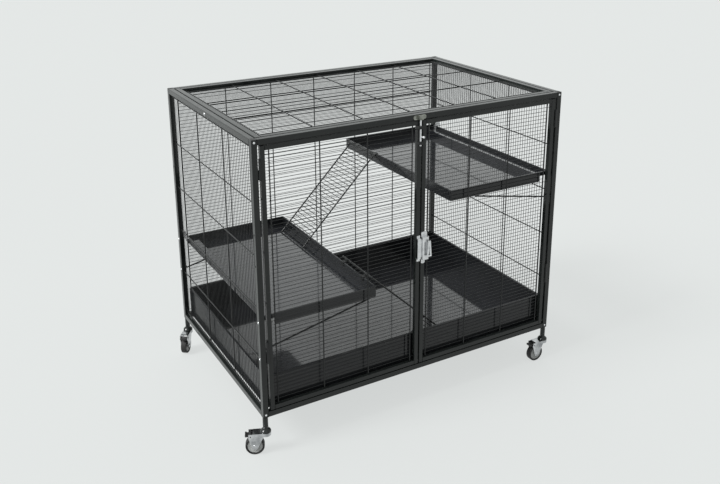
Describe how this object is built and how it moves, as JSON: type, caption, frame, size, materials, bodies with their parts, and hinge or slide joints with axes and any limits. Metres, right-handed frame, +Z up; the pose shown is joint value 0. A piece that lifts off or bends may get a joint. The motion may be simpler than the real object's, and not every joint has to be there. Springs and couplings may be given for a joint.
{
  "type": "ferret cage",
  "caption": "Wire pet cage on swivel casters with double front doors, a base tray, pan shelves and rung ramps between levels.",
  "frame": {"origin": "on the floor under the middle of the whole object", "axes": "+X to the cage's right seen from the front, along its longest side; -Y is the front with the doors; +Z up"},
  "size_m": [1.041, 0.6542, 0.852],
  "materials": {
    "frame_coat": "hammered powder coat",
    "wire_coat": "satin powder coat",
    "pan_black": "gloss",
    "zinc": "bright zinc",
    "cap_black": "matte",
    "caster_chrome": "polished",
    "wheel_pale": "satin",
    "tyre_black": "matte rubber"
  },
  "bodies": {
    "cage": {"left_posts": "frame_coat", "right_posts": "frame_coat", "left_side_rails": "frame_coat", "right_side_rails": "frame_coat", "front_rails": "frame_coat", "back_rails": "frame_coat", "roof_side_rails": "frame_coat", "roof_cross_rails": "frame_coat", "left_mesh": "wire_coat", "right_mesh": "wire_coat", "back_mesh": "wire_coat", "roof_mesh": "wire_coat", "tray_supports": "frame_coat", "post_caps": "cap_black", "screws": "zinc", "base_tray": "pan_black", "lower_shelf": "pan_black", "upper_shelf": "pan_black", "pan_sides": "pan_black", "shelf_hooks": "zinc", "shelf_braces": "wire_coat", "hinge_leaves": "wire_coat", "hinge_pins": "wire_coat", "bolt_keeper": "zinc", "legs": "frame_coat"},
    "left_door": {"left_door_stiles": "frame_coat", "left_door_rails": "frame_coat", "left_door_mesh": "wire_coat", "left_door_knuckles": "wire_coat", "latch_keeper": "zinc", "bolt_housing": "wire_coat"},
    "right_door": {"right_door_stiles": "frame_coat", "right_door_rails": "frame_coat", "right_door_mesh": "wire_coat", "right_door_knuckles": "wire_coat", "latch_body": "zinc"},
    "tower_bolt": {"bolt_rod": "zinc"},
    "door_latch": {"latch_bolt": "zinc"},
    "upper_ramp_body": {"upper_ramp": "wire_coat"},
    "lower_ramp_body": {"lower_ramp": "wire_coat"},
    "lf_caster": {"lf_fork": "caster_chrome", "lf_axle": "caster_chrome"},
    "lf_wheel_body": {"lf_wheel": "wheel_pale", "lf_tyre": "tyre_black"},
    "lf_pedal": {"lf_brake": "cap_black"},
    "rf_caster": {"rf_fork": "caster_chrome", "rf_axle": "caster_chrome"},
    "rf_wheel_body": {"rf_wheel": "wheel_pale", "rf_tyre": "tyre_black"},
    "rf_pedal": {"rf_brake": "cap_black"},
    "lb_caster": {"lb_fork": "caster_chrome", "lb_axle": "caster_chrome"},
    "lb_wheel_body": {"lb_wheel": "wheel_pale", "lb_tyre": "tyre_black"},
    "lb_pedal": {"lb_brake": "cap_black"},
    "rb_caster": {"rb_fork": "caster_chrome", "rb_axle": "caster_chrome"},
    "rb_wheel_body": {"rb_wheel": "wheel_pale", "rb_tyre": "tyre_black"},
    "rb_pedal": {"rb_brake": "cap_black"}
  },
  "joints": [
    {"name": "left_door_hinge", "type": "hinge", "parent": "cage", "child": "left_door", "pos_m": [-0.45675, -0.31086, 0.507], "axis": [0, 0, 1], "range_deg": [-170, 0]},
    {"name": "right_door_hinge", "type": "hinge", "parent": "cage", "child": "right_door", "pos_m": [0.45675, -0.31086, 0.507], "axis": [0, 0, 1], "range_deg": [0, 170]},
    {"name": "tower_bolt_slide", "type": "slide", "parent": "left_door", "child": "tower_bolt", "axis": [0, 0, 1], "range_m": [0, 0.01]},
    {"name": "door_latch_slide", "type": "slide", "parent": "right_door", "child": "door_latch", "axis": [-1, 0, 0], "range_m": [0, 0.009]},
    {"name": "upper_ramp_hinge", "type": "hinge", "parent": "cage", "child": "upper_ramp_body", "pos_m": [0.092, 0.16564, 0.618], "axis": [0, 1, 0], "range_deg": [0, 45]},
    {"name": "lower_ramp_hinge", "type": "hinge", "parent": "cage", "child": "lower_ramp_body", "pos_m": [-0.115, -0.16436, 0.39], "axis": [0, -1, 0], "range_deg": [0, 43]},
    {"name": "lf_swivel", "type": "hinge", "parent": "cage", "child": "lf_caster", "pos_m": [-0.4675, -0.30186, 0.067], "axis": [0, 0, 1], "continuous": true},
    {"name": "lf_roll", "type": "hinge", "parent": "lf_caster", "child": "lf_wheel_body", "pos_m": [-0.49399, -0.29007, 0.025], "axis": [-0.4067, -0.9135, 0], "continuous": true},
    {"name": "lf_brake_hinge", "type": "hinge", "parent": "lf_caster", "child": "lf_pedal", "pos_m": [-0.50404, -0.28559, 0.056], "axis": [-0.4067, -0.9135, 0], "range_deg": [0, 25]},
    {"name": "rf_swivel", "type": "hinge", "parent": "cage", "child": "rf_caster", "pos_m": [0.4675, -0.30186, 0.067], "axis": [0, 0, 1], "continuous": true},
    {"name": "rf_roll", "type": "hinge", "parent": "rf_caster", "child": "rf_wheel_body", "pos_m": [0.4385, -0.30186, 0.025], "axis": [0, -1, 0], "continuous": true},
    {"name": "rf_brake_hinge", "type": "hinge", "parent": "rf_caster", "child": "rf_pedal", "pos_m": [0.4275, -0.30186, 0.056], "axis": [0, -1, 0], "range_deg": [0, 25]},
    {"name": "lb_swivel", "type": "hinge", "parent": "cage", "child": "lb_caster", "pos_m": [-0.4675, 0.31314, 0.067], "axis": [0, 0, 1], "continuous": true},
    {"name": "lb_roll", "type": "hinge", "parent": "lb_caster", "child": "lb_wheel_body", "pos_m": [-0.48495, 0.28997, 0.025], "axis": [0.7986, -0.6018, 0], "continuous": true},
    {"name": "lb_brake_hinge", "type": "hinge", "parent": "lb_caster", "child": "lb_pedal", "pos_m": [-0.49157, 0.28119, 0.056], "axis": [0.7986, -0.6018, 0], "range_deg": [0, 25]},
    {"name": "rb_swivel", "type": "hinge", "parent": "cage", "child": "rb_caster", "pos_m": [0.4675, 0.31314, 0.067], "axis": [0, 0, 1], "continuous": true},
    {"name": "rb_roll", "type": "hinge", "parent": "rb_caster", "child": "rb_wheel_body", "pos_m": [0.49399, 0.30134, 0.025], "axis": [0.4067, 0.9135, 0], "continuous": true},
    {"name": "rb_brake_hinge", "type": "hinge", "parent": "rb_caster", "child": "rb_pedal", "pos_m": [0.50404, 0.29687, 0.056], "axis": [0.4067, 0.9135, 0], "range_deg": [0, 25]}
  ]
}
